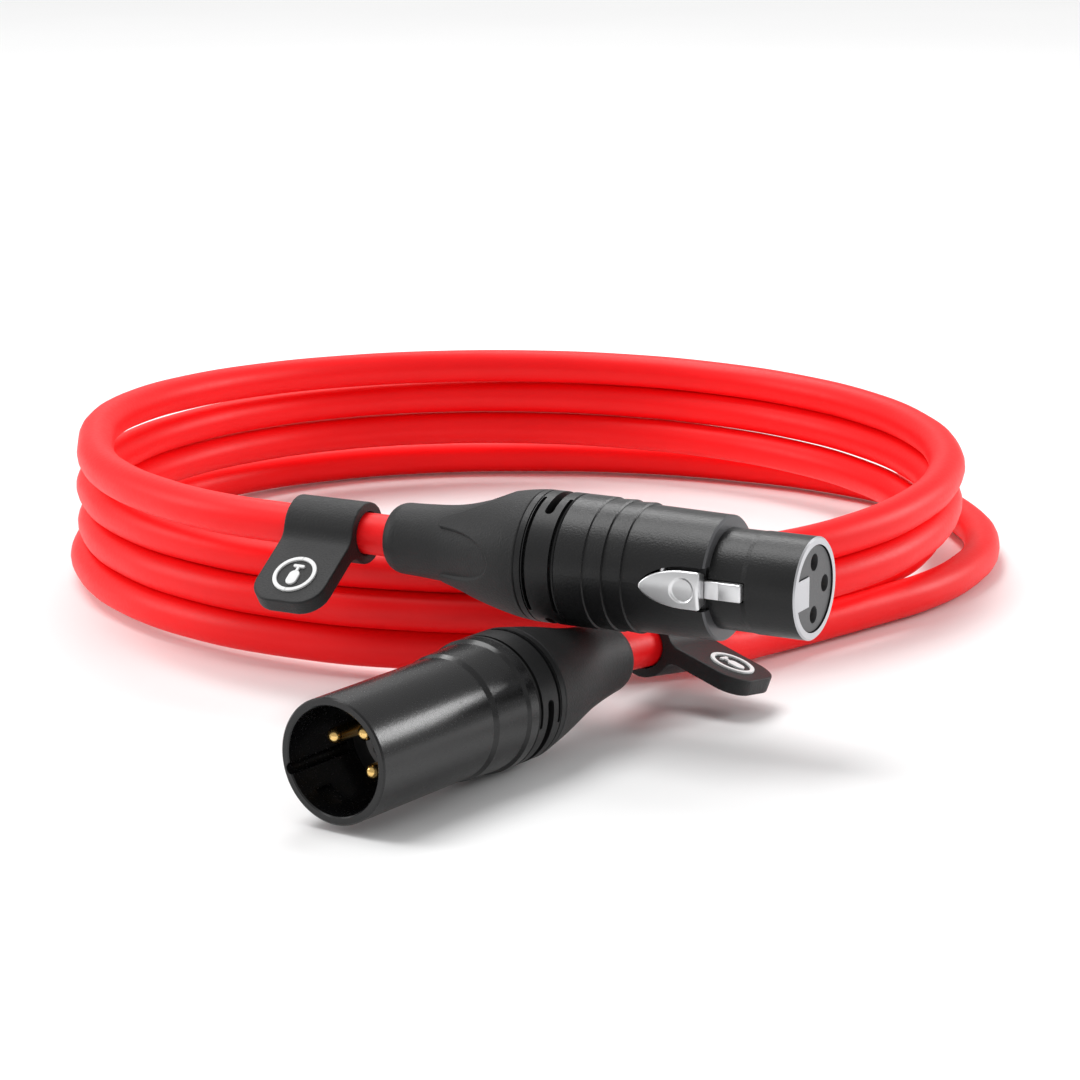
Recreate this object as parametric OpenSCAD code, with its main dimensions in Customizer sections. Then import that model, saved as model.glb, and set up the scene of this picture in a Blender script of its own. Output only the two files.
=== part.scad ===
// Coiled three-pin audio cable: a female and a male plug on one round cable, wound in a flat coil.
// Millimetres, +Z up, origin at the bottom centre of the whole object, resting on Z = 0.

/* [Cable] */
// Outer diameter of the jacketed cable
cable_d = 6.8; // [6.4:0.1:6.9]
// Mean radius of the coil's turns
coil_r = 80; // [76:0.5:84]

/* [Plugs] */
// Diameter of the female plug's nose
nose_d = 16; // [15.9:0.05:16.1]
// Length of the female plug's nose
nose_l = 14.4; // [14.2:0.1:14.6]
// Outside diameter of the male plug's front shell
male_d = 19; // [18.8:0.1:19.2]
// Inside diameter of the male plug's front shell
male_bore_d = 16.4; // [16.3:0.05:16.5]
// Largest diameter of both plugs, at their collars
body_d = 21; // [20.8:0.1:21.2]
// Diameter of the contact pins
pin_d = 2.4; // [2.3:0.05:2.45]
// Radius of the circle that the three contacts stand on
pin_circle_r = 4.1; // [4:0.05:4.2]
// Length of a rubber boot
boot_l = 27.2; // [26:0.2:28]

/* [Latch] */
// Width of the latch pad
pad_w = 6.3; // [6:0.1:6.6]
// Length of the latch pad
pad_l = 10.2; // [10:0.1:10.4]

/* [Tags] */
// Width of a tag along the cable
tag_w = 13; // [12:0.5:13]
// Reach of a tag's flag from the cable's centre
tag_reach = 18.8; // [17:0.1:19]
// Thickness of a tag's flag
tag_t = 2.8; // [2.4:0.1:3.2]
// Diameter of the raised badge on a tag
badge_d = 7.4; // [6:0.1:8]

/* [Hidden] */
$fn = 64;
eps = 0.01;

// Where the plugs lie: the middle of each front face, and the plug's turn about Z
female_at = [42.3, -90.4, 27.9];
female_yaw = 242;
male_at = [-29.3, -123.2, body_d / 2];
male_yaw = 144.8;
male_collar_turn = 118;
coil_at = [-1.6, 39.5, 0];

// Radii shared by the plugs
cable_r = cable_d / 2;
body_r = body_d / 2;
nose_r = nose_d / 2;
nose_relief_r = nose_r - 0.1;
nose_band_l = 8.2;
pin_r = pin_d / 2;
socket_r = pin_r + 0.05;
insert_r = 6.65;
insert_bore_r = insert_r + 0.15;
flange_r = 8.05;
barrel_bore_r = flange_r + 0.15;
thread_r = 8.7;
thread_bore_r = thread_r + 0.25;
chamfer = 0.25;

// Stations along each plug, counted back from its front face
female_rear = 39.7;
male_rear = 36.9;
thread_l = 5.5;
collar_l = 5.8;
flange_l = 1;
boot_start = collar_l + flange_l;
boot_end = boot_start + boot_l;
female_stub = 3.4;
male_stub = 1;

// Contacts
female_pin_turn = 90;
male_pin_turn = 31;
pin_tip_z = 4;
pin_face_z = 14.5;
pin_hole_r = pin_r + 0.3;
pin_neck_r = 0.9;
pin_neck_reach = 0.3;
plate_r = 5.45;
plate_t = 0.4;
cup_l = 4;
wire_r = 0.7;

// Latch: everything turns about the pin, near the pad's tail
latch_front = nose_l + 0.2;
pad_front_l = 2.6;
latch_pivot = [8.65, 0, 21.5];
latch_pin_r = 0.5;
latch_gap = 0.25;
hook_front = 8.5;
hook_back = 12.3;
hook_w = 2.8;
hook_gap = 0.15;
hook_top = 8.85;

// Tags
tag_ring_r = cable_r + 1.7;
tag_bore_r = cable_r + 0.25;
tag_corner_r = 4;
badge_t = 0.45;
badge_reach = 12.9;
flag_top = 2.5;
female_tag_z = 79;
female_tag_turn = -33.6;
male_tag_at = [17.4, -57, 9.85];
male_tag_heading = 54.8;
male_tag_dip = 8;
male_tag_flag_turn = 197;

// Routes of the cable's two free ends, from the plug to the coil
function plug_point(at, yaw, s) = at + s * [sin(yaw), -cos(yaw), 0];
function coil_point(turn, r, z) = [coil_at[0] + r * cos(turn), coil_at[1] + r * sin(turn), z];
male_tag_dir = [
    cos(male_tag_heading) * cos(male_tag_dip), sin(male_tag_heading) * cos(male_tag_dip),
    -sin(male_tag_dip)
];
tail_sides = 12;
tail_start_turn = 93;
female_route = concat(
    [for (s = [0, 8, 15]) plug_point(female_at, female_yaw, female_rear + boot_end + female_stub + s)],
    [
        [-54.5, -36.5, 27.8], [-65.2, -24.1, 27.7], [-73, -11, 27.6], [-78.4, 3.5, 27.5],
        [-81.2, 20, 27.4], [-82, 39.1, 27.3]
    ]
);
male_route = concat(
    [for (s = [0, 1.5, 3]) plug_point(male_at, male_yaw, male_rear + boot_end + male_stub + s)],
    [for (s = [-3, -0.5, 6.5, 13.5, 15.5]) male_tag_at + s * male_tag_dir],
    [
        [31.3, -37.2, 4.8], [39, -27, 3.6], [49.5, -16.5, 3.4], [60, -6, 3.4], [70.5, 5.5, 3.4],
        [79.5, 21, 3.4], [85, 39.5, 3.4]
    ],
    [
        coil_point(15, 90, 3.4), coil_point(30, 91.2, 3.4), coil_point(45, 90, 3.4),
        coil_point(60, 87.8, 3.4), coil_point(75, 86.2, 3.4), coil_point(tail_start_turn - 0.3, 85.7, 3.4)
    ]
);

// A smooth curve through the route's points
function knot(p, i) = p[max(0, min(len(p) - 1, i))];
function between(a, b, c, d, t) =
    ((2 * b) + (c - a) * t + (2 * a - 5 * b + 4 * c - d) * t * t
        + (3 * b - a - 3 * c + d) * t * t * t) / 2;
function smooth_route(p, steps) = [
    for (i = [0 : len(p) - 2]) for (k = [0 : steps - 1])
        between(knot(p, i - 1), p[i], p[i + 1], knot(p, i + 2), k / steps),
    p[len(p) - 1]
];
function unit(v) = v / norm(v);
function heading(p, i) = unit(knot(p, i + 1) - knot(p, i - 1));
function ring_points(p, i, r, n) =
    let (
        t = heading(p, i),
        s = unit(cross(t, [0, 0, 1])),
        u = cross(s, t)
    )
    [for (k = [0 : n - 1]) p[i] + r * (cos(360 * k / n) * s + sin(360 * k / n) * u)];

// A round tube along a curve
module tube_along(p, r, n) {
    points = [for (i = [0 : len(p) - 1]) each ring_points(p, i, r, n)];
    last = (len(p) - 1) * n;
    sides = [
        for (i = [0 : len(p) - 2]) for (k = [0 : n - 1])
            let (a = i * n + k, b = i * n + (k + 1) % n)
            each [[a, b, b + n], [a, b + n, a + n]]
    ];
    caps = [
        [for (k = [0 : n - 1]) n - 1 - k],
        [for (k = [0 : n - 1]) last + k]
    ];
    polyhedron(points, concat(sides, caps));
}

// Local frame of a plug: Z runs back along the plug, X points to the latch side, Y is up
module on_plug(at, yaw) {
    translate(at) rotate([0, 0, yaw]) rotate([90, 0, 0]) children();
}
module on_female() { on_plug(female_at, female_yaw) children(); }
module on_male() { on_plug(male_at, male_yaw) children(); }

// A ring between two radii and two stations
module ring(r0, r1, z0, z1) {
    rotate_extrude() translate([r0, z0]) square([r1 - r0, z1 - z0]);
}
// Part of a ring, from one angle through a sweep
module ring_sector(r0, r1, z0, z1, start, sweep) {
    rotate([0, 0, start]) rotate_extrude(angle = sweep) translate([r0, z0]) square([r1 - r0, z1 - z0]);
}
// A slot around a wall, with round ends
module arc_slot(r0, r1, z, w, start, sweep) {
    ring_sector(r0, r1, z - w / 2, z + w / 2, start, sweep);
    for (a = [start, start + sweep])
        rotate([0, 0, a]) translate([r0 - 0.1, 0, z]) rotate([0, 90, 0])
            cylinder(h = r1 - r0 + 0.2, d = w - eps);
}

// ---- contacts, wires and cable ends, common to both plugs ----
module at_contacts(turn) {
    for (k = [0 : 2]) rotate([0, 0, turn + 90 * k]) translate([pin_circle_r, 0, 0]) children();
}
module solder_cup(z) {
    difference() {
        translate([0, 0, z]) cylinder(h = cup_l, r = 1.45);
        translate([0, 0, z + 1.5]) cylinder(h = cup_l, r = wire_r + 0.05);
    }
}
module wire(z0, z1) {
    bend = 1.2;
    inward = pin_circle_r - 1.3;
    run = z1 - z0 - bend;
    tilt = atan(inward / run);
    translate([0, 0, z0 - 1.5]) cylinder(h = bend + 1.5, r = wire_r);
    translate([0, 0, z0 + bend]) {
        sphere(r = wire_r + 0.05);
        rotate([0, -tilt, 0]) cylinder(h = run / cos(tilt) - 0.3, r = wire_r);
    }
}
module cable_end(rear, stub_out) {
    color("red") translate([0, 0, rear - 5]) cylinder(h = boot_end + stub_out + 5, r = cable_r);
}
module braid(rear) {
    color("silver") ring(2.85, 3.25, rear - 5.6, rear - 5);
}
module wires(turn, cup_end, rear) {
    color("ivory") at_contacts(turn) wire(cup_end, rear - 5.2);
}

// ---- back end, common to both plugs ----
module chuck(rear) {
    grip_r = cable_r + 0.05;
    jaw_l = 10;
    color("dimgray") difference() {
        rotate_extrude() polygon([
            [grip_r, rear - 5], [6.2, rear - 5], [6.2, rear + 1],
            [4.9, rear + jaw_l - 5], [grip_r, rear + jaw_l - 5]
        ]);
        for (a = [0, 90]) rotate([0, 0, a + 45])
            translate([-8, -0.45, rear - 3]) cube([16, 0.9, jaw_l]);
    }
}
module collar(rear) {
    slot_depth_r = body_r - 0.7;
    groove_w = 0.6;
    window_w = 1.5;
    color("#2b2b2b") difference() {
        rotate_extrude() polygon([
            [thread_bore_r, rear], [body_r - chamfer, rear], [body_r, rear + chamfer],
            [body_r, rear + collar_l - chamfer], [body_r - chamfer, rear + collar_l],
            [thread_bore_r, rear + collar_l]
        ]);
        for (a = [0, 180]) {
            for (z = [0.55, collar_l - 0.65])
                arc_slot(slot_depth_r, body_r + 1, rear + z, groove_w, a - 40, 114);
            arc_slot(thread_bore_r - 1, body_r + 1, rear + collar_l / 2, window_w, a + 57, 66);
        }
    }
}
module bushing(rear) {
    wall_r = 6.4;
    color("#202020") rotate_extrude() polygon([
        [wall_r, rear - thread_l + 1], [thread_r - 0.4, rear - thread_l + 1],
        [thread_r, rear - thread_l + 1.4],
        each [for (k = [0 : 3]) each [
            [thread_r, rear - 3.4 + k], [thread_r - 0.35, rear - 3.1 + k], [thread_r, rear - 2.8 + k]
        ]],
        [thread_r, rear + collar_l], [body_r, rear + collar_l], [body_r, rear + boot_start],
        [7.4, rear + boot_start], [7, rear + boot_start + 7],
        [5.2, rear + boot_start + 7], [5.2, rear + 5.6], [wall_r, rear + 1.5]
    ]);
}
module boot(rear) {
    z0 = rear + boot_start;
    color("#303030") difference() {
        union() {
            children();
        }
        translate([0, 0, z0 - 1]) cylinder(h = 8.3, r = 7.55);
        translate([0, 0, z0 - 1]) cylinder(h = boot_l + 2, r = cable_r + 0.2);
    }
}
// plain cone with a rounded end
module plain_boot_body(rear) {
    z0 = rear + boot_start;
    rotate_extrude() polygon([
        [0, z0], [body_r, z0], [9.2, z0 + 6.5], [7.15, z0 + 15], [6.4, z0 + 19.4],
        [5.75, z0 + boot_l - 2.2], [5.4, z0 + boot_l - 0.7], [4.7, z0 + boot_l], [0, z0 + boot_l]
    ]);
}
// cone with four raised fingers, left where the four scoops aren't
module fingered_boot_body(rear) {
    z0 = rear + boot_start;
    lobe_l = 16.5;
    scoop_l = 5.3;
    scoop_r = 4.3;
    rotate_extrude() polygon([
        [0, z0], [9.5, z0], [9.1, z0 + scoop_l], [6.3, z0 + lobe_l], [5.75, z0 + boot_l - 2.2],
        [5.4, z0 + boot_l - 0.7], [4.7, z0 + boot_l], [0, z0 + boot_l]
    ]);
    difference() {
        rotate_extrude() polygon([
            [0, z0], [body_r, z0], [9.35, z0 + 6.5], [6.7, z0 + lobe_l], [0, z0 + lobe_l]
        ]);
        for (a = [0 : 90 : 270]) rotate([0, 0, a]) translate([4, 0, z0 + scoop_l + scoop_r]) {
            rotate([0, 90, 0]) cylinder(h = 8, r = scoop_r);
            translate([0, -scoop_r + eps, 0]) cube([8, 2 * (scoop_r - eps), lobe_l]);
        }
    }
}

// ---- female plug ----
module female_barrel_outline() {
    polygon([
        [insert_bore_r, 0], [nose_r - chamfer, 0], [nose_r, chamfer], [nose_r, nose_band_l],
        [nose_relief_r, nose_band_l + 0.8], [nose_relief_r, nose_l], [9.5, nose_l],
        [9.8, nose_l + 0.3], [10, 28], [10.3, 28.15], [10.12, 31.3], [10.42, 31.45],
        [10.25, 34.6], [body_r, 34.75], [body_r, female_rear - 0.2], [body_r - 0.2, female_rear],
        [thread_bore_r, female_rear], [thread_bore_r, female_rear - 6.7],
        [barrel_bore_r, female_rear - 6.7], [barrel_bore_r, 15], [insert_bore_r, 15]
    ]);
}
key_reach = 2.3;
key_w = 4.7;
key_l = 8;
module female_shell() {
    on_female() color("#262626") difference() {
        union() {
            rotate_extrude() female_barrel_outline();
            intersection() {
                translate([key_reach, -key_w / 2, 0]) cube([6, key_w, key_l]);
                cylinder(h = key_l, r = insert_bore_r + 0.3);
            }
        }
        // way for the latch: hook slot in the nose and pocket in the barrel
        translate([nose_r - 1.6, -hook_w / 2 - hook_gap, hook_front - hook_gap])
            cube([4, hook_w + 2 * hook_gap, latch_front + 1 - hook_front + hook_gap]);
        latch_outline(latch_gap);
        latch_pin_solid(0);
    }
}
module female_insert() {
    on_female() color("#5a5a5a") difference() {
        union() {
            translate([0, 0, 0.25]) cylinder(h = 15, r = insert_r);
            translate([0, 0, 15.05]) cylinder(h = 6.95, r = flange_r);
        }
        translate([key_reach - 0.1, -key_w / 2 - 0.12, -1]) cube([8, key_w + 0.24, key_l + 1.2]);
        at_contacts(female_pin_turn) {
            translate([0, 0, -1]) cylinder(h = 4, r = 1.35);
            translate([0, 0, 2]) cylinder(h = 30, r = 1.9);
        }
        translate([5.9, -hook_w / 2 - latch_gap, 8]) cube([4, hook_w + 2 * latch_gap, 7.2]);
        latch_outline(latch_gap + 0.1);
    }
}
module female_contacts() {
    on_female() color("gold") at_contacts(female_pin_turn) {
        difference() {
            translate([0, 0, 2.05]) cylinder(h = 20.4, r = 1.85);
            translate([0, 0, 1]) cylinder(h = 13, r = socket_r);
        }
        solder_cup(22.4);
    }
}
module female_ground_ring() {
    on_female() color("silver") {
        difference() {
            ring(6.4, flange_r, 22.05, 22.6);
            translate([4, -3, 20]) cube([8, 6, 4]);
        }
    }
}

// Latch pad seen from its side of the plug: a square front and a rounded, tapering tail
module pad_outline(grow) {
    half = pad_w / 2 + grow;
    tail_l = pad_l - pad_front_l + grow;
    steps = 14;
    roundness = 0.62;
    side = [
        for (k = [0 : steps - 1])
            let (u = sin(90 * k / steps))
            [tail_l * u, half * pow(1 - u * u, roundness)]
    ];
    mirrored = [for (k = [0 : steps - 1]) [side[steps - 1 - k][0], -side[steps - 1 - k][1]]];
    polygon(concat(
        [[-pad_front_l - grow, -half], [-pad_front_l - grow, half]], side, [[tail_l, 0]], mirrored
    ));
}
// The pad's outline as a block along X, from inside the barrel to clear of it
module latch_outline(grow) {
    translate([insert_r + 0.4, 0, latch_front + pad_front_l]) rotate([0, 90, 0]) rotate([0, 0, 180])
        linear_extrude(height = 6) pad_outline(grow);
}
module latch_pin_solid(play) {
    translate(latch_pivot) rotate([90, 0, 0]) cylinder(h = 6.4, r = latch_pin_r + play, center = true);
}
module latch() {
    pad_r = 10.9;
    on_female() color("#c8c8cc") difference() {
        union() {
            intersection() {
                latch_outline(0);
                ring(8.75, pad_r, latch_front, latch_front + pad_l);
            }
            // lug around the pin
            intersection() {
                translate(latch_pivot) rotate([90, 0, 0]) cylinder(h = 3.6, r = 1.1, center = true);
                translate([7, -4, 0]) cube([8, 8, 40]);
            }
            // neck and hook
            translate([7.75, -hook_w / 2, hook_back - eps]) cube([1.15, hook_w, latch_front - hook_back + 0.6]);
            intersection() {
                translate([7.2, -hook_w / 2, hook_front]) cube([3, hook_w, hook_back - hook_front]);
                ring(7.4, hook_top, hook_front, hook_back);
            }
        }
        latch_pin_solid(0.05);
        // thumb dimple
        translate([pad_r - 0.25, 0, 17.4]) rotate([0, 90, 0]) cylinder(h = 2, r = 2.1);
        // room for the spring's coil
        translate(latch_pivot) rotate([90, 0, 0]) cylinder(h = 1.6, r = 1.3, center = true);
    }
}
module latch_pin() {
    on_female() color("silver") latch_pin_solid(0);
}
module latch_spring() {
    on_female() color("silver") {
        translate(latch_pivot) rotate([90, 0, 0]) rotate_extrude()
            translate([latch_pin_r + 0.02, -0.6]) square([0.4, 1.2]);
    }
}
module female_chuck() { on_female() chuck(female_rear); }
module female_collar() { on_female() collar(female_rear); }
module female_bushing() { on_female() bushing(female_rear); }
module female_boot() { on_female() boot(female_rear) fingered_boot_body(female_rear); }
module female_cable_end() { on_female() cable_end(female_rear, female_stub); }
module female_braid() { on_female() braid(female_rear); }
module female_wires() { on_female() wires(female_pin_turn, 26.4, female_rear); }

// ---- male plug ----
module male_shell() {
    bore_r = male_bore_d / 2;
    front_r = male_d / 2;
    on_male() color("#1e1e1e") difference() {
        rotate_extrude() polygon([
            [bore_r, 0.2], [bore_r + 0.2, 0], [front_r - chamfer, 0], [front_r, chamfer],
            [front_r, 26.4], [9.85, 27.4], [10.1, 34.2], [body_r, 34.8],
            [body_r, male_rear - 0.2], [body_r - 0.2, male_rear], [thread_bore_r, male_rear],
            [thread_bore_r, male_rear - 6.7], [bore_r, male_rear - 6.7]
        ]);
        // guide groove in the wall, and the catch for a mating latch
        rotate([0, 0, -17]) translate([bore_r - 0.2, 0, -1]) cylinder(h = 15, r = 0.9);
        rotate([0, 0, male_pin_turn + 270]) translate([bore_r - 1, -1.9, 3]) cube([1.45, 3.8, 3.6]);
    }
}
module male_insert() {
    on_male() color("#151515") difference() {
        translate([0, 0, pin_face_z + plate_t]) cylinder(h = 9 - plate_t, r = male_bore_d / 2 - 0.05);
        at_contacts(male_pin_turn) translate([0, 0, 10]) cylinder(h = 20, r = pin_hole_r);
    }
}
module male_pins() {
    on_male() color("gold") at_contacts(male_pin_turn) {
        translate([0, 0, pin_tip_z + pin_r]) sphere(r = pin_r);
        translate([0, 0, pin_tip_z + pin_r])
            cylinder(h = pin_face_z - pin_neck_reach - pin_tip_z - pin_r, r = pin_r);
        translate([0, 0, pin_face_z - pin_neck_reach - 0.1]) cylinder(h = 0.6, r = pin_neck_r);
        translate([0, 0, pin_face_z + 0.1]) cylinder(h = 9.3, r = pin_r + 0.25);
        solder_cup(pin_face_z + 9.3);
    }
}
module male_face_plate() {
    on_male() color("#8a8a8e") difference() {
        translate([0, 0, pin_face_z]) cylinder(h = plate_t - 0.02, r = plate_r);
        at_contacts(male_pin_turn) translate([0, 0, 10]) cylinder(h = 20, r = pin_hole_r);
        rotate([0, 0, male_pin_turn + 270 + 23]) translate([pin_circle_r, 0, pin_face_z - 1])
            cylinder(h = 1.2, r = 0.6);
    }
}
module male_chuck() { on_male() chuck(male_rear); }
module male_collar() { on_male() rotate([0, 0, male_collar_turn]) collar(male_rear); }
module male_bushing() { on_male() bushing(male_rear); }
module male_boot() { on_male() boot(male_rear) plain_boot_body(male_rear); }
module male_cable_end() { on_male() cable_end(male_rear, male_stub); }
module male_braid() { on_male() braid(male_rear); }
module male_wires() { on_male() wires(male_pin_turn, pin_face_z + 13.3, male_rear); }

// ---- cable ----
// The wound turns as one ring: two turns all round, the top turn over the back and sides,
// and the bottom turn from the front round the left to the back
module cable_coil() {
    layer_h = cable_d + 0.3;
    mid_top = 3 * layer_h;
    inner_r = coil_r - 5.6;
    outer_r = coil_r + 4.6;
    color("red") translate(coil_at) {
        difference() {
            ring(inner_r, outer_r, layer_h, mid_top);
            // way over the male end's rise from the floor
            ring_sector(inner_r + 1.6, outer_r + 1, 0, 11, -76, 56);
        }
        // each step is its start angle, its end angle, how far it stands in from the ring, and its top
        for (step = [[-60, 179, 0.4, 25.3], [0, 179.3, 0.6, 26.6], [60, 179.6, 0.8, 28.3], [120, 180, 1, 30.8]])
            ring_sector(inner_r + step[2], outer_r - step[2], mid_top - step[2], step[3],
                step[0], step[1] - step[0]);
        // each step is its start angle, its end angle, its inner and outer radius
        for (step = [[tail_start_turn, 168, 81, 89.2], [165, 207, 77, 87], [204, 280, 77.3, 85.6]])
            ring_sector(step[2], step[3], 0, layer_h + step[2] / 100, step[0], step[1] - step[0]);
    }
}
module female_cable_tail() {
    color("red") tube_along(smooth_route(female_route, 2), cable_r, tail_sides);
}
module male_cable_tail() {
    color("red") tube_along(smooth_route(male_route, 2), cable_r, tail_sides);
}

// ---- tags ----
// Tag in its own frame: the cable along Z, the flag out along X, its show face up on +Y
module tag_solid() {
    difference() {
        union() {
            cylinder(h = tag_w, r = tag_ring_r);
            intersection() {
                translate([0, flag_top - tag_t, 0]) cube([tag_reach, tag_t, tag_w]);
                translate([0, 20, 0]) rotate([90, 0, 0]) linear_extrude(height = 40) tag_outline();
            }
            // webs between the ring and both faces of the flag
            linear_extrude(height = tag_w)
                polygon([[2.5, 4], [6.8, flag_top - 0.2], [7.5, flag_top - tag_t + 0.2], [3.6, -2.6]]);
        }
        translate([0, 0, -1]) cylinder(h = tag_w + 2, r = tag_bore_r);
    }
}
module tag_outline() {
    square([tag_reach - tag_corner_r, tag_w]);
    translate([0, tag_corner_r]) square([tag_reach, tag_w - 2 * tag_corner_r]);
    for (y = [tag_corner_r, tag_w - tag_corner_r])
        translate([tag_reach - tag_corner_r, y]) circle(r = tag_corner_r);
}
// Badge: a plain microphone sign, a round head over a cradle and a foot
module badge_solid() {
    translate([badge_reach, flag_top, tag_w / 2]) rotate([-90, 0, 0]) linear_extrude(height = badge_t) {
        difference() {
            circle(d = badge_d);
            circle(d = badge_d - 1.5);
        }
        translate([-0.5, 0]) circle(d = 2.2);
        translate([-0.5, -1.1]) square([1.6, 2.2]);
        translate([1.6, -0.3]) square([0.9, 0.6]);
    }
}
module on_female_tag() {
    on_female() translate([0, 0, female_tag_z]) rotate([0, 0, female_tag_turn]) children();
}
module on_male_tag() {
    translate(male_tag_at) rotate([0, 0, male_tag_heading + 90]) rotate([90 + male_tag_dip, 0, 0])
        rotate([0, 0, male_tag_flag_turn]) mirror([0, 1, 0]) children();
}
module female_tag() { on_female_tag() color("#2e2e2e") tag_solid(); }
module female_tag_badge() { on_female_tag() color("white") badge_solid(); }
module male_tag() { on_male_tag() color("#2e2e2e") tag_solid(); }
module male_tag_badge() { on_male_tag() color("white") badge_solid(); }

female_shell();
female_insert();
female_contacts();
female_ground_ring();
latch();
latch_pin();
latch_spring();
female_chuck();
female_collar();
female_bushing();
female_boot();
female_cable_end();
female_braid();
female_wires();
male_shell();
male_insert();
male_pins();
male_face_plate();
male_chuck();
male_collar();
male_bushing();
male_boot();
male_cable_end();
male_braid();
male_wires();
cable_coil();
female_cable_tail();
male_cable_tail();
female_tag();
female_tag_badge();
male_tag();
male_tag_badge();
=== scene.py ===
"""The looks of a coiled microphone cable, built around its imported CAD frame. Metres, +Z up."""

import math
from functools import lru_cache

import bmesh
import bpy
from mathutils import Matrix, Vector


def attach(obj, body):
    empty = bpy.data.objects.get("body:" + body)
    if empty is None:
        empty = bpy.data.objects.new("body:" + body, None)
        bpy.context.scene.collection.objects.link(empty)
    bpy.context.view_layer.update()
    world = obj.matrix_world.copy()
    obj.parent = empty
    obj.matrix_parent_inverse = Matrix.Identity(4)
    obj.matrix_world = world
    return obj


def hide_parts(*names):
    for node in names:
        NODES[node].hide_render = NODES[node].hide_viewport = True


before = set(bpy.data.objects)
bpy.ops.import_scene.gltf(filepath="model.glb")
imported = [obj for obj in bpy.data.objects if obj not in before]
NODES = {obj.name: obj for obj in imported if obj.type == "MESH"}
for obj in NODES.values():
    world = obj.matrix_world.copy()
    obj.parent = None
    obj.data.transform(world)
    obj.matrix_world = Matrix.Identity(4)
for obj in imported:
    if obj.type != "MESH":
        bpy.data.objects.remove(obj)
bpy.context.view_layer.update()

MM = 0.001

# Plugs, as part.scad places them: the middle of the front face, and the turn about Z
FEMALE_AT, FEMALE_YAW, FEMALE_REAR = (42.3, -90.4, 27.9), 242, 39.7
MALE_AT, MALE_YAW, MALE_REAR = (-29.3, -123.2, 10.5), 144.8, 36.9
BOOT_START, BOOT_L = 6.8, 27.2
CABLE_R = 3.4
TAG_W, TAG_REACH, TAG_T, TAG_RING_R, TAG_BORE_R, FLAG_TOP = 13, 18.8, 2.8, 5.1, 3.65, 2.5
FEMALE_TAG_Z, FEMALE_TAG_TURN = 79, -33.6
MALE_TAG_AT, MALE_TAG_HEADING, MALE_TAG_DIP, MALE_TAG_TURN = (17.4, -57, 9.85), 54.8, 8, 197


def turn(degrees, axis):
    return Matrix.Rotation(math.radians(degrees), 4, axis)


def plug_frame(at, yaw):
    """A plug's own frame in millimetres: Z back along the plug, Y up, X to the latch side."""
    return Matrix.Scale(MM, 4) @ Matrix.Translation(at) @ turn(yaw, "Z") @ turn(90, "X")


FEMALE = plug_frame(FEMALE_AT, FEMALE_YAW)
MALE = plug_frame(MALE_AT, MALE_YAW)


# ---------------------------------------------------------------- camera
CAMERA_AT = (0.0005, -0.583, 0.1514)
CAMERA_DOWN = 13.24
CAMERA_LENS = 111.5


def make_camera():
    camera = bpy.data.objects.new("camera", bpy.data.cameras.new("camera"))
    bpy.context.scene.collection.objects.link(camera)
    camera.data.sensor_width = 36
    camera.data.lens = CAMERA_LENS
    camera.data.clip_start = 0.01
    camera.location = CAMERA_AT
    camera.rotation_euler = (math.radians(90 - CAMERA_DOWN), 0, 0)
    bpy.context.scene.camera = camera


make_camera()

# ---------------------------------------------------------------- cable route
COIL_AT = (-1.6, 39.5)

# (angle turned from the coil's left side, radius, height of the cable's centre), in degrees and mm.
# Most radii are rounded from a fit to the passes that show, and the heights were adjusted.
COIL_KNOTS = [
    (0, 80.6, 27.3), (60, 77.6, 25.4), (120, 78.4, 23.8), (180, 78.7, 22.0),
    (240, 80.1, 18.8), (300, 81.8, 18.2), (360, 81.8, 18.2), (420, 80.7, 18.3),
    (480, 78.7, 17.0), (540, 78.3, 15.2), (600, 80.7, 12.1), (660, 82.3, 11.4),
    (720, 81.7, 11.3), (780, 81.3, 11.3), (840, 77.9, 10.2), (900, 75.5, 8.4),
    (930, 73.0, 8.0), (960, 72.5, 7.5), (990, 80.5, 5.2), (1020, 82.0, 4.6),
    (1080, 83.6, 4.4), (1140, 87.3, 3.5), (1170, 85.8, 3.4), (1200, 87.8, 3.4),
    (1230, 91.2, 3.4), (1260, 86.6, 3.4),
]
COIL_STEP = 15
LOWEST = 3.5

# Where the route runs inside each plug and through the second tag, in millimetres along its axis
FEMALE_STATIONS = (46, 53, 60, 67, 74, 81, 88, 93)
MALE_STATIONS = (73, 68, 62, 55, 47)
MALE_TAG_STATIONS = (13.5, 9, 4, -1)

# The cable's two ends between plug and coil, as in part.scad
FEMALE_TAIL = [
    (-54.5, -36.5, 27.8), (-65.2, -24.1, 27.7), (-73, -11, 27.6), (-78.4, 3.5, 27.5), (-81.2, 20, 27.4),
]
MALE_TAIL = [
    (79.5, 21, 3.5), (70.5, 5.5, 3.5), (60, -6, 3.5), (49.5, -16.5, 3.5), (39, -27, 3.7), (31.3, -37.2, 4.9),
]


def slopes(knots, k):
    """How fast value k of the knots changes at each knot."""
    found = []
    for i in range(len(knots)):
        a, b = knots[max(0, i - 1)], knots[min(len(knots) - 1, i + 1)]
        found.append((b[k] - a[k]) / (b[0] - a[0]))
    return found


def along_knots(knots, t, k, slope):
    """Value k of the knots at t, on one smooth curve."""
    i = max(j for j in range(len(knots) - 1) if knots[j][0] <= t)
    span = knots[i + 1][0] - knots[i][0]
    u = (t - knots[i][0]) / span
    a, b = knots[i][k], knots[i + 1][k]
    return (
        a * (2 * u**3 - 3 * u**2 + 1) + b * (3 * u**2 - 2 * u**3)
        + slope[i] * span * (u**3 - 2 * u**2 + u) + slope[i + 1] * span * (u**3 - u**2)
    )


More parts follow.
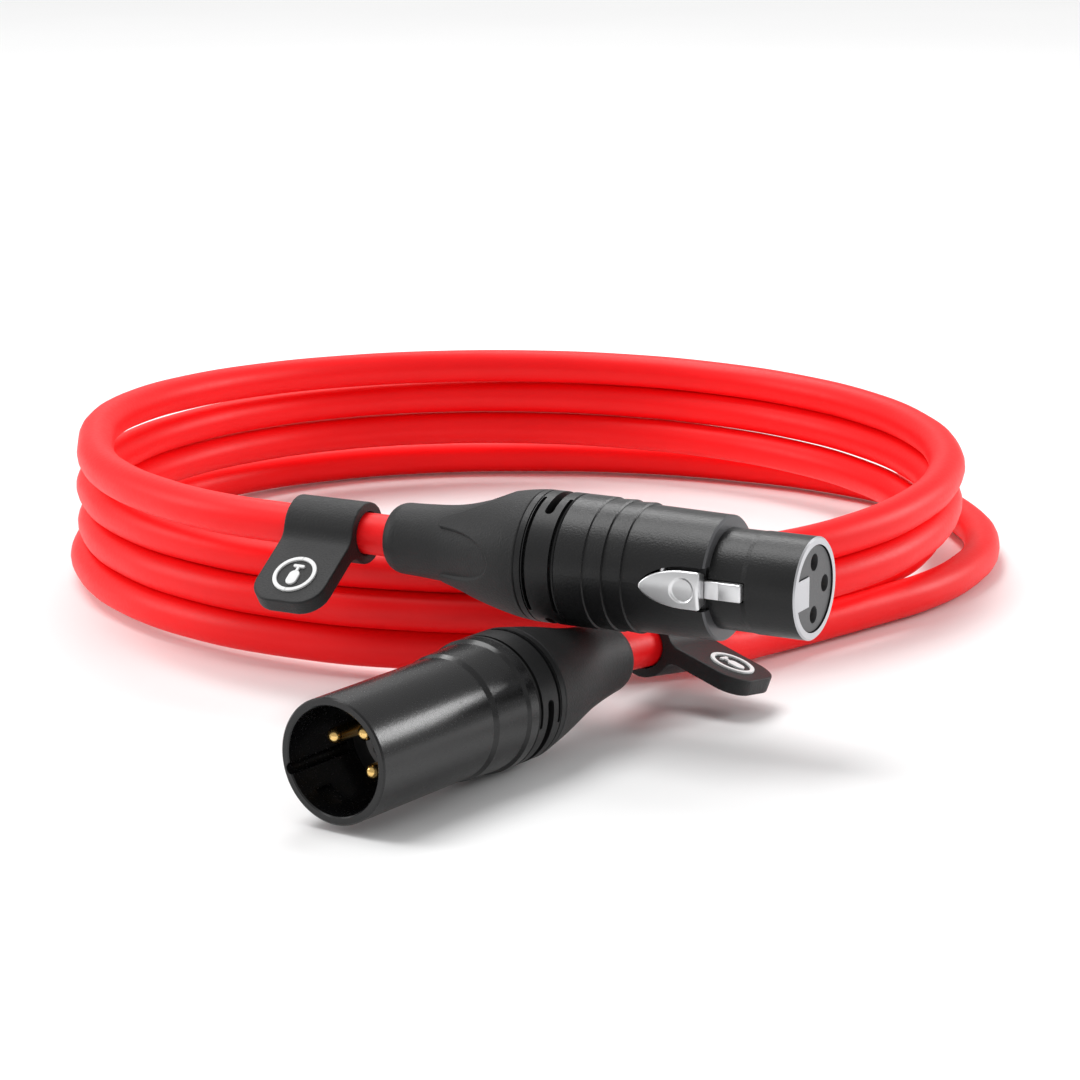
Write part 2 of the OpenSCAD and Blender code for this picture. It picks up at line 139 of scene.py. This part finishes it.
def coil_points():
    radius_slope, height_slope = slopes(COIL_KNOTS, 1), slopes(COIL_KNOTS, 2)
    points = []
    for angle in range(0, COIL_KNOTS[-1][0] + 1, COIL_STEP):
        r = along_knots(COIL_KNOTS, angle, 1, radius_slope)
        z = max(LOWEST, along_knots(COIL_KNOTS, angle, 2, height_slope))
        a = math.radians(angle)
        points.append((COIL_AT[0] - r * math.cos(a), COIL_AT[1] + r * math.sin(a), z))
    return points


def male_tag_direction():
    heading, dip = math.radians(MALE_TAG_HEADING), math.radians(MALE_TAG_DIP)
    return Vector((math.cos(heading) * math.cos(dip), math.sin(heading) * math.cos(dip), -math.sin(dip)))


def cable_points():
    """The whole cable's centreline, from inside the female plug to inside the male one."""
    on_female = [FEMALE @ Vector((0, 0, s)) for s in FEMALE_STATIONS]
    tag = Vector(MALE_TAG_AT)
    through_tag = [(tag + s * male_tag_direction()) * MM for s in MALE_TAG_STATIONS]
    on_male = [MALE @ Vector((0, 0, s)) for s in MALE_STATIONS]
    loose = [Vector(p) * MM for p in FEMALE_TAIL + coil_points() + MALE_TAIL]
    return on_female + loose + through_tag + on_male


def make_cable():
    curve = bpy.data.curves.new("cable", "CURVE")
    curve.dimensions = "3D"
    curve.resolution_u = 6
    curve.bevel_depth = CABLE_R * MM
    curve.bevel_resolution = 8
    curve.use_fill_caps = True
    points = cable_points()
    spline = curve.splines.new("BEZIER")
    spline.bezier_points.add(len(points) - 1)
    for knot, place in zip(spline.bezier_points, points):
        knot.co = place
        knot.handle_left_type = knot.handle_right_type = "AUTO"
    cable = bpy.data.objects.new("cable", curve)
    bpy.context.scene.collection.objects.link(cable)
    return cable


cable = make_cable()


# ---------------------------------------------------------------- materials
def ramp(nodes, stops):
    node = nodes.new("ShaderNodeValToRGB")
    while len(node.color_ramp.elements) < len(stops):
        node.color_ramp.elements.new(0.5)
    for element, (position, colour) in zip(node.color_ramp.elements, stops):
        element.position = position
        element.color = (*colour, 1)
    return node


def material(name, dark, light, rough, metallic=0.0, patch=60, grain=2500, bump=0.1, rough_by=0.08,
             specular=0.5, coat=0.0, coat_rough=0.3, sheen=0.0):
    """A surface that varies slowly between two colours, with a fine grain in its height and gloss.
    patch and grain are how many times per metre the slow and the fine pattern repeat."""
    made = bpy.data.materials.new(name)
    made.use_nodes = True
    nodes, links = made.node_tree.nodes, made.node_tree.links
    shader = nodes["Principled BSDF"]
    shader.inputs["Metallic"].default_value = metallic
    shader.inputs["Specular IOR Level"].default_value = specular
    shader.inputs["Coat Weight"].default_value = coat
    shader.inputs["Coat Roughness"].default_value = coat_rough
    shader.inputs["Sheen Weight"].default_value = sheen
    place = nodes.new("ShaderNodeTexCoord")
    slow = nodes.new("ShaderNodeTexNoise")
    slow.inputs["Scale"].default_value = patch
    slow.inputs["Detail"].default_value = 4
    fine = nodes.new("ShaderNodeTexNoise")
    fine.inputs["Scale"].default_value = grain
    fine.inputs["Detail"].default_value = 3
    for pattern in (slow, fine):
        links.new(place.outputs["Object"], pattern.inputs["Vector"])
    tone = ramp(nodes, [(0.3, dark), (0.7, light)])
    links.new(slow.outputs["Fac"], tone.inputs["Fac"])
    links.new(tone.outputs["Color"], shader.inputs["Base Color"])
    gloss = nodes.new("ShaderNodeMapRange")
    gloss.inputs["To Min"].default_value = rough - rough_by
    gloss.inputs["To Max"].default_value = rough + rough_by
    links.new(fine.outputs["Fac"], gloss.inputs["Value"])
    links.new(gloss.outputs["Result"], shader.inputs["Roughness"])
    height = nodes.new("ShaderNodeBump")
    height.inputs["Strength"].default_value = bump
    height.inputs["Distance"].default_value = 0.1 * MM
    links.new(fine.outputs["Fac"], height.inputs["Height"])
    links.new(height.outputs["Normal"], shader.inputs["Normal"])
    return made


JACKET = material("red_jacket", (0.90, 0.002, 0.004), (0.99, 0.004, 0.007), 0.46, grain=1300, bump=0.2,
                  patch=30, specular=0.26)
FEMALE_PAINT = material("black_paint", (0.006, 0.006, 0.0064), (0.010, 0.010, 0.0105), 0.34, grain=3300,
                        bump=0.4, specular=0.35)
MALE_PAINT = material("black_satin_metal", (0.003, 0.003, 0.0033), (0.006, 0.006, 0.0064), 0.25,
                      grain=3200, bump=0.1, specular=0.4, coat=0.1, coat_rough=0.15)
BARE_METAL = material("bare_metal", (0.46, 0.46, 0.48), (0.56, 0.56, 0.58), 0.36, metallic=0.9, grain=4000,
                      bump=0.02)
SHOULDER = material("grey_metal", (0.07, 0.07, 0.075), (0.10, 0.10, 0.105), 0.4, metallic=0.4, grain=4000)
NICKEL = material("satin_nickel", (0.66, 0.66, 0.67), (0.76, 0.76, 0.77), 0.30, metallic=0.9, grain=4200,
                  bump=0.008, rough_by=0.04)
GOLD = material("gold_contact", (0.85, 0.55, 0.18), (0.92, 0.62, 0.24), 0.22, metallic=1.0, grain=3000,
                bump=0.01, rough_by=0.04)
RUBBER = material("charcoal_rubber", (0.010, 0.010, 0.0104), (0.016, 0.016, 0.0165), 0.52, grain=3000,
                  bump=0.75, specular=0.28, sheen=0.02)
RING = material("black_ring", (0.007, 0.007, 0.0074), (0.011, 0.011, 0.0115), 0.42, grain=3000, bump=0.25,
                specular=0.3)
GREY_PLASTIC = material("grey_plastic", (0.05, 0.05, 0.053), (0.075, 0.075, 0.078), 0.45, grain=2600,
                        bump=0.15)
PLATE_PLASTIC = material("light_grey_plastic", (0.24, 0.24, 0.25), (0.30, 0.30, 0.31), 0.45, grain=2600,
                         bump=0.12)
BLACK_PLASTIC = material("black_plastic", (0.005, 0.005, 0.005), (0.009, 0.009, 0.009), 0.45, grain=2500)
WHITE = material("white_sign", (0.72, 0.72, 0.72), (0.80, 0.80, 0.80), 0.45, grain=2500, bump=0.05)
BRAID = material("tinned_braid", (0.45, 0.43, 0.40), (0.62, 0.60, 0.56), 0.4, metallic=0.9, grain=1500,
                 bump=0.6)
WIRE = material("ivory_wire", (0.70, 0.66, 0.58), (0.76, 0.73, 0.66), 0.4, grain=2000)


def paint(thing, *materials):
    thing.data.materials.clear()
    for one in materials:
        thing.data.materials.append(one)


def smooth(thing, angle=35):
    """Rounds the shading over edges flatter than the angle."""
    for face in thing.data.polygons:
        face.use_smooth = True
    limit = math.radians(angle)
    form = bmesh.new()
    form.from_mesh(thing.data)
    bmesh.ops.remove_doubles(form, verts=form.verts, dist=1e-7)
    for edge in form.edges:
        edge.smooth = len(edge.link_faces) == 2 and edge.calc_face_angle(0) < limit
    form.to_mesh(thing.data)
    form.free()


NODE_MATERIALS = {
    "female_shell": FEMALE_PAINT, "female_insert": GREY_PLASTIC, "female_contacts": GOLD,
    "female_ground_ring": NICKEL, "latch_pin": NICKEL, "latch_spring": NICKEL,
    "female_chuck": GREY_PLASTIC, "female_collar": RING, "female_bushing": RING, "female_braid": BRAID,
    "female_wires": WIRE, "male_shell": MALE_PAINT, "male_insert": BLACK_PLASTIC, "male_pins": GOLD,
    "male_face_plate": PLATE_PLASTIC, "male_chuck": GREY_PLASTIC, "male_collar": RING,
    "male_bushing": RING, "male_braid": BRAID, "male_wires": WIRE, "female_cable_end": JACKET,
    "male_cable_end": JACKET, "cable_coil": JACKET, "female_cable_tail": JACKET,
    "male_cable_tail": JACKET, "latch": NICKEL, "female_boot": RUBBER, "male_boot": RUBBER,
    "female_tag": RUBBER, "male_tag": RUBBER, "female_tag_badge": WHITE, "male_tag_badge": WHITE,
}


def paint_frame():
    for name, thing in NODES.items():
        paint(thing, NODE_MATERIALS[name])


# Where the female shell is bare or grey: depth from its front, and distance from its axis
BARE_RING_DEPTH, KEY_DEPTH, KEY_R = 0.3, 9, 6.75
SHOULDER_FROM, SHOULDER_TO, SHOULDER_R = 14.35, 14.8, 7.9


def paint_nose():
    """Leaves the female nose's front ring and key bare, and its shoulder grey."""
    shell = NODES["female_shell"]
    paint(shell, FEMALE_PAINT, BARE_METAL, SHOULDER)
    to_plug = FEMALE.inverted()
    for face in shell.data.polygons:
        centre = to_plug @ face.center
        out = math.hypot(centre.x, centre.y)
        if centre.z < BARE_RING_DEPTH or (out < KEY_R and centre.z < KEY_DEPTH):
            face.material_index = 1
        elif SHOULDER_FROM < centre.z < SHOULDER_TO and out > SHOULDER_R:
            face.material_index = 2


# ---------------------------------------------------------------- building helpers
def add_mesh(name, points, faces, place):
    """A closed mesh from points in millimetres, in the frame given by place."""
    data = bpy.data.meshes.new(name)
    data.from_pydata([place @ Vector(p) for p in points], [], faces)
    data.validate()
    form = bmesh.new()
    form.from_mesh(data)
    bmesh.ops.recalc_face_normals(form, faces=form.faces)
    form.to_mesh(data)
    form.free()
    for face in data.polygons:
        face.use_smooth = True
    thing = bpy.data.objects.new(name, data)
    bpy.context.scene.collection.objects.link(thing)
    return thing


def step(value, low, high):
    """0 below low, 1 above high, and smooth between."""
    t = min(1, max(0, (value - low) / (high - low)))
    return t * t * (3 - 2 * t)


def along(stops, t):
    """Linear between (position, value) stops."""
    for (a, va), (b, vb) in zip(stops, stops[1:]):
        if t <= b:
            return va + (vb - va) * (t - a) / (b - a)
    return stops[-1][1]


# ---------------------------------------------------------------- rubber boots
BOOT_SLEEVE = ((0, 10.1), (5.3, 9.15), (9, 8.1), (13, 6.95), (16.5, 6.3), (21, 5.95), (24.4, 5.8))
BOOT_FINGERS = ((0, 10.5), (3, 10.15), (6.5, 9.45), (10, 8.55), (13.5, 7.5), (16.5, 6.8), (27.2, 5.5))
PLAIN_BOOT = ((0, 10.5), (6.5, 9.2), (15, 7.15), (19.4, 6.4), (24.4, 5.8), (27.2, 5.6))
SCOOP_START, FINGER_TIP_R, FINGER_END = 5.3, 1.1, 16.5
ROUNDED_FROM = 24.6
BOOT_LIP_R = 4.1

# The boot's hollow from the cable end to the front, as (radius, station)
BOOT_BORE = ((3.6, BOOT_L - 0.05), (3.6, 7.4), (7.55, 7.3), (7.55, 0.02))


@lru_cache(maxsize=None)
def profile(stops, z):
    """A smooth curve through (station, radius) stops."""
    return along_knots(stops, min(z, stops[-1][0] - 0.001), 1, slopes(stops, 1))


def scoop_half_width(z, sleeve):
    """Half the width of one scoop between two fingers, in millimetres; negative before its tip."""
    into = z - SCOOP_START
    if into < 0:
        return into
    quarter = math.pi * sleeve / 4
    end = FINGER_END - FINGER_TIP_R
    side = (quarter - FINGER_TIP_R) * math.sqrt(min(1, into / (end - SCOOP_START)))
    if z <= end:
        return side
    return quarter - FINGER_TIP_R * math.sqrt(max(0, 1 - ((z - end) / FINGER_TIP_R) ** 2))


def cable_end_radius(z, before):
    """Radius of the boot's rounded end."""
    t = (z - ROUNDED_FROM) / (BOOT_L - ROUNDED_FROM)
    return BOOT_LIP_R + (before - BOOT_LIP_R) * math.sqrt(max(0, 1 - t * t))


def fingered_radius(z, angle):
    if z > ROUNDED_FROM:
        return cable_end_radius(z, profile(BOOT_SLEEVE, ROUNDED_FROM))
    sleeve, finger = profile(BOOT_SLEEVE, z), profile(BOOT_FINGERS, z)
    off = abs((angle + 45) % 90 - 45)
    beyond = math.radians(off) * sleeve - scoop_half_width(z, sleeve)
    rise = step(beyond, -0.08, 0.1) * (1 - step(z, FINGER_END - 0.15, FINGER_END + 0.15))
    return sleeve + (finger - sleeve) * rise - front_edge(z)


def plain_radius(z, angle):
    if z > ROUNDED_FROM:
        return cable_end_radius(z, profile(PLAIN_BOOT, ROUNDED_FROM))
    return profile(PLAIN_BOOT, z) - front_edge(z)


def front_edge(z):
    """How much the boot's front edge is broken."""
    return 0.25 * (1 - step(z, 0, 0.35))


def make_boot(name, place, rear, radius, around, steps):
    z0 = rear + BOOT_START
    heights = [0.02 + (BOOT_L - 0.02) * i / steps for i in range(steps + 1)]
    points, faces = [], []
    rows = []
    for z in heights:
        rows.append([(radius(z, 360 * k / around), 360 * k / around, z) for k in range(around)])
    for r, z in BOOT_BORE:
        rows.append([(r, 360 * k / around, z) for k in range(around)])
    for row in rows:
        for r, angle, z in row:
            a = math.radians(angle)
            points.append((r * math.cos(a), r * math.sin(a), z0 + z))
    count = len(rows)
    for i in range(count):
        below, above = i * around, (i + 1) % count * around
        for k in range(around):
            n = (k + 1) % around
            faces.append((below + k, below + n, above + n, above + k))
    boot = add_mesh(name, points, faces, place)
    paint(boot, RUBBER)
    return boot


# ---------------------------------------------------------------- latch
PAD_FRONT, PAD_L, PAD_HALF, PAD_R, PAD_FLOOR_R = 14.6, 10.2, 3.15, 10.9, 8.9
PAD_SQUARE_L, PAD_CORNER_R, PAD_ROUNDNESS = 2.6, 0.5, 0.62
DIMPLE_Z, DIMPLE_R, DIMPLE_DEPTH = 17.4, 2.0, 0.28


def pad_half_width(z):
    """Half the width of the latch pad: square at the front, rounded and tapering at the tail."""
    from_front = z - PAD_FRONT
    if from_front < PAD_CORNER_R:
        return PAD_HALF - PAD_CORNER_R + math.sqrt(PAD_CORNER_R**2 - (PAD_CORNER_R - from_front) ** 2)
    tail = (from_front - PAD_SQUARE_L) / (PAD_L - PAD_SQUARE_L)
    if tail <= 0:
        return PAD_HALF
    return max(0.03, PAD_HALF * max(0, 1 - tail * tail) ** PAD_ROUNDNESS)


def pad_height(z, across, half):
    """Height of the pad's face over the plug's axis: rounded at the edges, with a thumb dimple."""
    edge = half - abs(across)
    end = min(z - PAD_FRONT, PAD_FRONT + PAD_L - z)
    near = min(edge, end)
    soft = 0.45
    drop = 0.4 * (1 - math.sqrt(1 - (1 - min(near, soft) / soft) ** 2))
    out = math.hypot(z - DIMPLE_Z, across)
    dimple = DIMPLE_DEPTH * (1 - step(out, DIMPLE_R - 0.22, DIMPLE_R))
    return PAD_R - drop - dimple


def make_pad(place):
    steps, sides = 96, 64
    points, faces = [], []
    for layer in (0, 1):
        for i in range(steps + 1):
            z = PAD_FRONT + PAD_L * (1 - math.cos(math.pi * i / steps)) / 2
            half = pad_half_width(z)
            for j in range(sides + 1):
                across = half * (2 * j / sides - 1)
                r = pad_height(z, across, half) if layer == 0 else PAD_FLOOR_R
                a = across / PAD_R
                points.append((r * math.cos(a), r * math.sin(a), z))
    size = (steps + 1) * (sides + 1)
    row = sides + 1
    for layer in (0, 1):
        for i in range(steps):
            for j in range(sides):
                a = layer * size + i * row + j
                faces.append((a, a + 1, a + row + 1, a + row))
    for i in range(steps):
        for j in (0, sides):
            a = i * row + j
            faces.append((a, a + row, a + row + size, a + size))
    for j in range(sides):
        for i in (0, steps):
            a = i * row + j
            faces.append((a, a + 1, a + 1 + size, a + size))
    pad = add_mesh("latch_pad", points, faces, place)
    paint(pad, NICKEL)
    return pad


def add_block(name, low, high, place, soft=0.25):
    """A block with rounded edges, from corner to corner, in millimetres."""
    (x0, y0, z0), (x1, y1, z1) = low, high
    points = [(x, y, z) for x in (x0, x1) for y in (y0, y1) for z in (z0, z1)]
    faces = [(0, 1, 3, 2), (4, 6, 7, 5), (0, 4, 5, 1), (2, 3, 7, 6), (0, 2, 6, 4), (1, 5, 7, 3)]
    block = add_mesh(name, points, faces, place)
    bevel = block.modifiers.new("round", "BEVEL")
    bevel.width = soft * MM
    bevel.segments = 4
    return block


def make_latch(place):
    pad = make_pad(place)
    hook = add_block("latch_hook", (7.4, -1.4, 8.5), (8.85, 1.4, 12.3), place, 0.3)
    neck = add_block("latch_neck", (7.75, -1.4, 12), (8.7, 1.4, 15.4), place, 0.15)
    lug = add_block("latch_lug", (8.3, -1.8, 20.3), (9.6, 1.8, 22.7), place, 0.3)
    for thing in (hook, neck, lug):
        paint(thing, NICKEL)
    return [pad, hook, neck, lug]


# ---------------------------------------------------------------- marker tags
def tag_outline(corner=4.2, points_per_corner=14):
    """The flag's outline along the cable, from the cable's centre to its rounded outer corners."""
    outline = [(0, 0)]
    for cx, cy, first in ((TAG_REACH - corner, corner, -90), (TAG_REACH - corner, TAG_W - corner, 0)):
        for k in range(points_per_corner + 1):
            a = math.radians(first + 90 * k / points_per_corner)
            outline.append((cx + corner * math.cos(a), cy + corner * math.sin(a)))
    outline.append((0, TAG_W))
    return outline


def fillet(level, radius, side, steps=12):
    """An arc that leads from the tag's ring into the flag's face at this level; side is 1 above, -1 below."""
    centre_y = level + side * radius
    centre_x = math.sqrt((TAG_RING_R + radius) ** 2 - centre_y**2)
    first = math.atan2(-centre_y, -centre_x)
    last = -side * math.pi / 2
    if side < 0:
        first, last = first % (2 * math.pi), last % (2 * math.pi)
    arc = []
    for k in range(steps + 1):
        a = first + (last - first) * k / steps
        arc.append((centre_x + radius * math.cos(a), centre_y + radius * math.sin(a)))
    return arc


def web_outline():
    """The web between ring and flag, seen along the cable."""
    above = fillet(FLAG_TOP, 3, 1)
    below = fillet(FLAG_TOP - TAG_T, 2, -1)
    return above + list(reversed(below))


def extrude(form, outline, corner):
    """A closed block from an outline; corner gives the place of an outline point at either end."""
    ends = [[form.verts.new(corner(point, end)) for point in outline] for end in (0, 1)]
    form.faces.new(ends[0])
    form.faces.new(reversed(ends[1]))
    for k in range(len(outline)):
        n = (k + 1) % len(outline)
        form.faces.new((ends[0][n], ends[0][k], ends[1][k], ends[1][n]))


def tag_form():
    """Ring and flag as one rough form in millimetres, before it is rounded."""
    form = bmesh.new()
    levels = (FLAG_TOP - TAG_T, FLAG_TOP)
    extrude(form, tag_outline(), lambda point, end: (point[0], levels[end], point[1]))
    extrude(form, web_outline(), lambda point, end: (point[0], point[1], end * TAG_W))
    around = 96
    circle = [2 * math.pi * k / around for k in range(around)]
    rings = [
        [form.verts.new((TAG_RING_R * math.cos(a), TAG_RING_R * math.sin(a), z)) for a in circle]
        for z in (0, TAG_W)
    ]
    form.faces.new(reversed(rings[0]))
    form.faces.new(rings[1])
    for k in range(around):
        n = (k + 1) % around
        form.faces.new((rings[0][k], rings[0][n], rings[1][n], rings[1][k]))
    return form


def make_tag(name, place):
    """A rubber tag moulded in one piece: the form is remeshed, softened, and then bored for the cable."""
    data = bpy.data.meshes.new(name)
    form = tag_form()
    bmesh.ops.recalc_face_normals(form, faces=form.faces)
    form.to_mesh(data)
    form.free()
    tag = bpy.data.objects.new(name, data)
    bpy.context.scene.collection.objects.link(tag)
    remesh = tag.modifiers.new("one_skin", "REMESH")
    remesh.mode = "VOXEL"
    remesh.voxel_size = 0.16
    soften = tag.modifiers.new("soften", "SMOOTH")
    soften.factor = 0.5
    soften.iterations = 8
    cutter = bore_cutter()
    bore = tag.modifiers.new("bore", "BOOLEAN")
    bore.operation = "DIFFERENCE"
    bore.solver = "EXACT"
    bore.object = cutter
    graph = bpy.context.evaluated_depsgraph_get()
    done = bpy.data.meshes.new_from_object(tag.evaluated_get(graph))
    tag.modifiers.clear()
    bpy.data.objects.remove(cutter)
    tag.data = done
    done.transform(place)
    for face in done.polygons:
        face.use_smooth = True
    if place.determinant() < 0:
        done.flip_normals()
    paint(tag, RUBBER)
    smooth(tag, 50)
    return tag


def bore_cutter():
    data = bpy.data.meshes.new("bore_cutter")
    form = bmesh.new()
    bmesh.ops.create_cone(form, cap_ends=True, segments=72, radius1=TAG_BORE_R, radius2=TAG_BORE_R,
                          depth=TAG_W + 6, matrix=Matrix.Translation((0, 0, TAG_W / 2)))
    form.to_mesh(data)
    form.free()
    cutter = bpy.data.objects.new("bore_cutter", data)
    bpy.context.scene.collection.objects.link(cutter)
    return cutter


# Sign on each tag: a plain microphone in a ring, in the flag's own plane
SIGN_AT_X, SIGN_R, SIGN_LINE, SIGN_T, SIGN_SUNK = 12.9, 3.75, 0.7, 0.32, 0.3


def capsule(length, r, steps=14):
    """A round-ended bar along X, centred."""
    outline = []
    for side, first in ((1, -90), (-1, 90)):
        for k in range(steps + 1):
            a = math.radians(first + 180 * k / steps)
            outline.append((side * length / 2 + r * math.cos(a), r * math.sin(a)))
    return outline


def arc_band(r0, r1, start, sweep, steps=28):
    """A curved bar between two radii."""
    angles = [math.radians(start + sweep * k / steps) for k in range(steps + 1)]
    outer = [(r1 * math.cos(a), r1 * math.sin(a)) for a in angles]
    inner = [(r0 * math.cos(a), r0 * math.sin(a)) for a in reversed(angles)]
    return outer + inner


def moved(outline, dx, dy):
    return [(x + dx, y + dy) for x, y in outline]


def turned(outline):
    return [(y, -x) for x, y in outline]


def sign_outlines():
    """Every raised stroke of the sign, round the origin: a ring, and a microphone on its stand."""
    strokes = [arc_band(SIGN_R - SIGN_LINE, SIGN_R, start, 180.0, 48) for start in (0, 180)]
    strokes.append(moved(capsule(1.1, 0.95), 0.75, 0))
    strokes.append(moved(capsule(0.7, 0.26), -1.1, 0))
    strokes.append(moved(turned(capsule(1.5, 0.3)), -1.75, 0))
    return strokes


def make_sign(name, place):
    form = bmesh.new()
    levels = (FLAG_TOP - SIGN_SUNK, FLAG_TOP + SIGN_T)
    for outline in sign_outlines():
        extrude(form, outline, lambda point, end: (SIGN_AT_X + point[0], levels[end], TAG_W / 2 + point[1]))
    bmesh.ops.recalc_face_normals(form, faces=form.faces)
    form.transform(place)
    bmesh.ops.recalc_face_normals(form, faces=form.faces)
    data = bpy.data.meshes.new(name)
    form.to_mesh(data)
    form.free()
    sign = bpy.data.objects.new(name, data)
    bpy.context.scene.collection.objects.link(sign)
    bevel = sign.modifiers.new("soft_edge", "BEVEL")
    bevel.width = 0.1 * MM
    bevel.segments = 2
    bevel.limit_method = "ANGLE"
    bevel.angle_limit = math.radians(60)
    paint(sign, WHITE)
    return sign


FEMALE_TAG = FEMALE @ Matrix.Translation((0, 0, FEMALE_TAG_Z)) @ turn(FEMALE_TAG_TURN, "Z")
MALE_TAG = (
    Matrix.Scale(MM, 4) @ Matrix.Translation(MALE_TAG_AT) @ turn(MALE_TAG_HEADING + 90, "Z")
    @ turn(90 + MALE_TAG_DIP, "X") @ turn(MALE_TAG_TURN, "Z") @ Matrix.Scale(-1, 4, (0, 1, 0))
)

# ---------------------------------------------------------------- assembly
paint_frame()
paint_nose()

female_boot = make_boot("boot_female", FEMALE, FEMALE_REAR, fingered_radius, 420, 220)
male_boot = make_boot("boot_male", MALE, MALE_REAR, plain_radius, 128, 80)
latch_parts = make_latch(FEMALE)
female_tag = make_tag("tag_female", FEMALE_TAG)
male_tag = make_tag("tag_male", MALE_TAG)
female_sign = make_sign("sign_female", FEMALE_TAG)
male_sign = make_sign("sign_male", MALE_TAG)
paint(cable, JACKET)

for thing, body, node, slot in (
    (female_boot, "female_grip", "female_boot", "rubber"),
    (male_boot, "male_grip", "male_boot", "rubber"),
    (female_tag, "female_tag", "female_tag", "rubber"),
    (male_tag, "male_tag", "male_tag", "rubber"),
    (female_sign, "female_tag", "female_tag_badge", "badge"),
    (male_sign, "male_tag", "male_tag_badge", "badge"),
):
    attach(thing, body)
    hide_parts(node)
for thing in latch_parts:
    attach(thing, "latch")
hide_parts("latch")

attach(cable, "cable")
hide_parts("cable_coil", "female_cable_tail", "male_cable_tail", "female_cable_end", "male_cable_end")


# ---------------------------------------------------------------- floor and light
def make_floor():
    data = bpy.data.meshes.new("floor")
    form = bmesh.new()
    bmesh.ops.create_grid(form, x_segments=1, y_segments=1, size=4)
    form.to_mesh(data)
    form.free()
    floor = bpy.data.objects.new("floor", data)
    bpy.context.scene.collection.objects.link(floor)
    floor.location.z = -0.0002
    paint(floor, material("pale_floor", (0.86, 0.86, 0.86), (0.88, 0.88, 0.88), 0.75, grain=300, bump=0.0,
                          patch=3, specular=0.2))


def add_light(name, place, target, size, power):
    light = bpy.data.lights.new(name, "AREA")
    light.shape = "DISK"
    light.size = size
    light.energy = power
    lamp = bpy.data.objects.new(name, light)
    bpy.context.scene.collection.objects.link(lamp)
    lamp.location = place
    lamp.rotation_euler = (Vector(target) - Vector(place)).to_track_quat("-Z", "Y").to_euler()


def add_sun(place, angle, power):
    """A wide, even light from far away, so that the floor is as bright far off as near by."""
    light = bpy.data.lights.new("sun", "SUN")
    light.angle = math.radians(angle)
    light.energy = power
    sun = bpy.data.objects.new("sun", light)
    bpy.context.scene.collection.objects.link(sun)
    sun.rotation_euler = (-Vector(place)).to_track_quat("-Z", "Y").to_euler()


def make_sky():
    world = bpy.data.worlds.new("studio")
    world.use_nodes = True
    sky = world.node_tree.nodes["Background"]
    sky.inputs["Color"].default_value = (1, 1, 1, 1)
    sky.inputs["Strength"].default_value = 0.55
    bpy.context.scene.world = world


make_floor()
make_sky()
add_sun((-0.35, 0.15, 1), 35, 1.7)
add_light("back", (-0.1, 0.7, 0.8), (0, 0, 0), 0.4, 2.5)
add_light("right", (0.9, 0.33, 0.38), (0, -0.05, 0.02), 0.34, 4)
add_light("left", (-0.9, 0.1, 0.4), (0, 0, 0.02), 0.4, 2.5)
bpy.context.scene.view_settings.view_transform = "Standard"
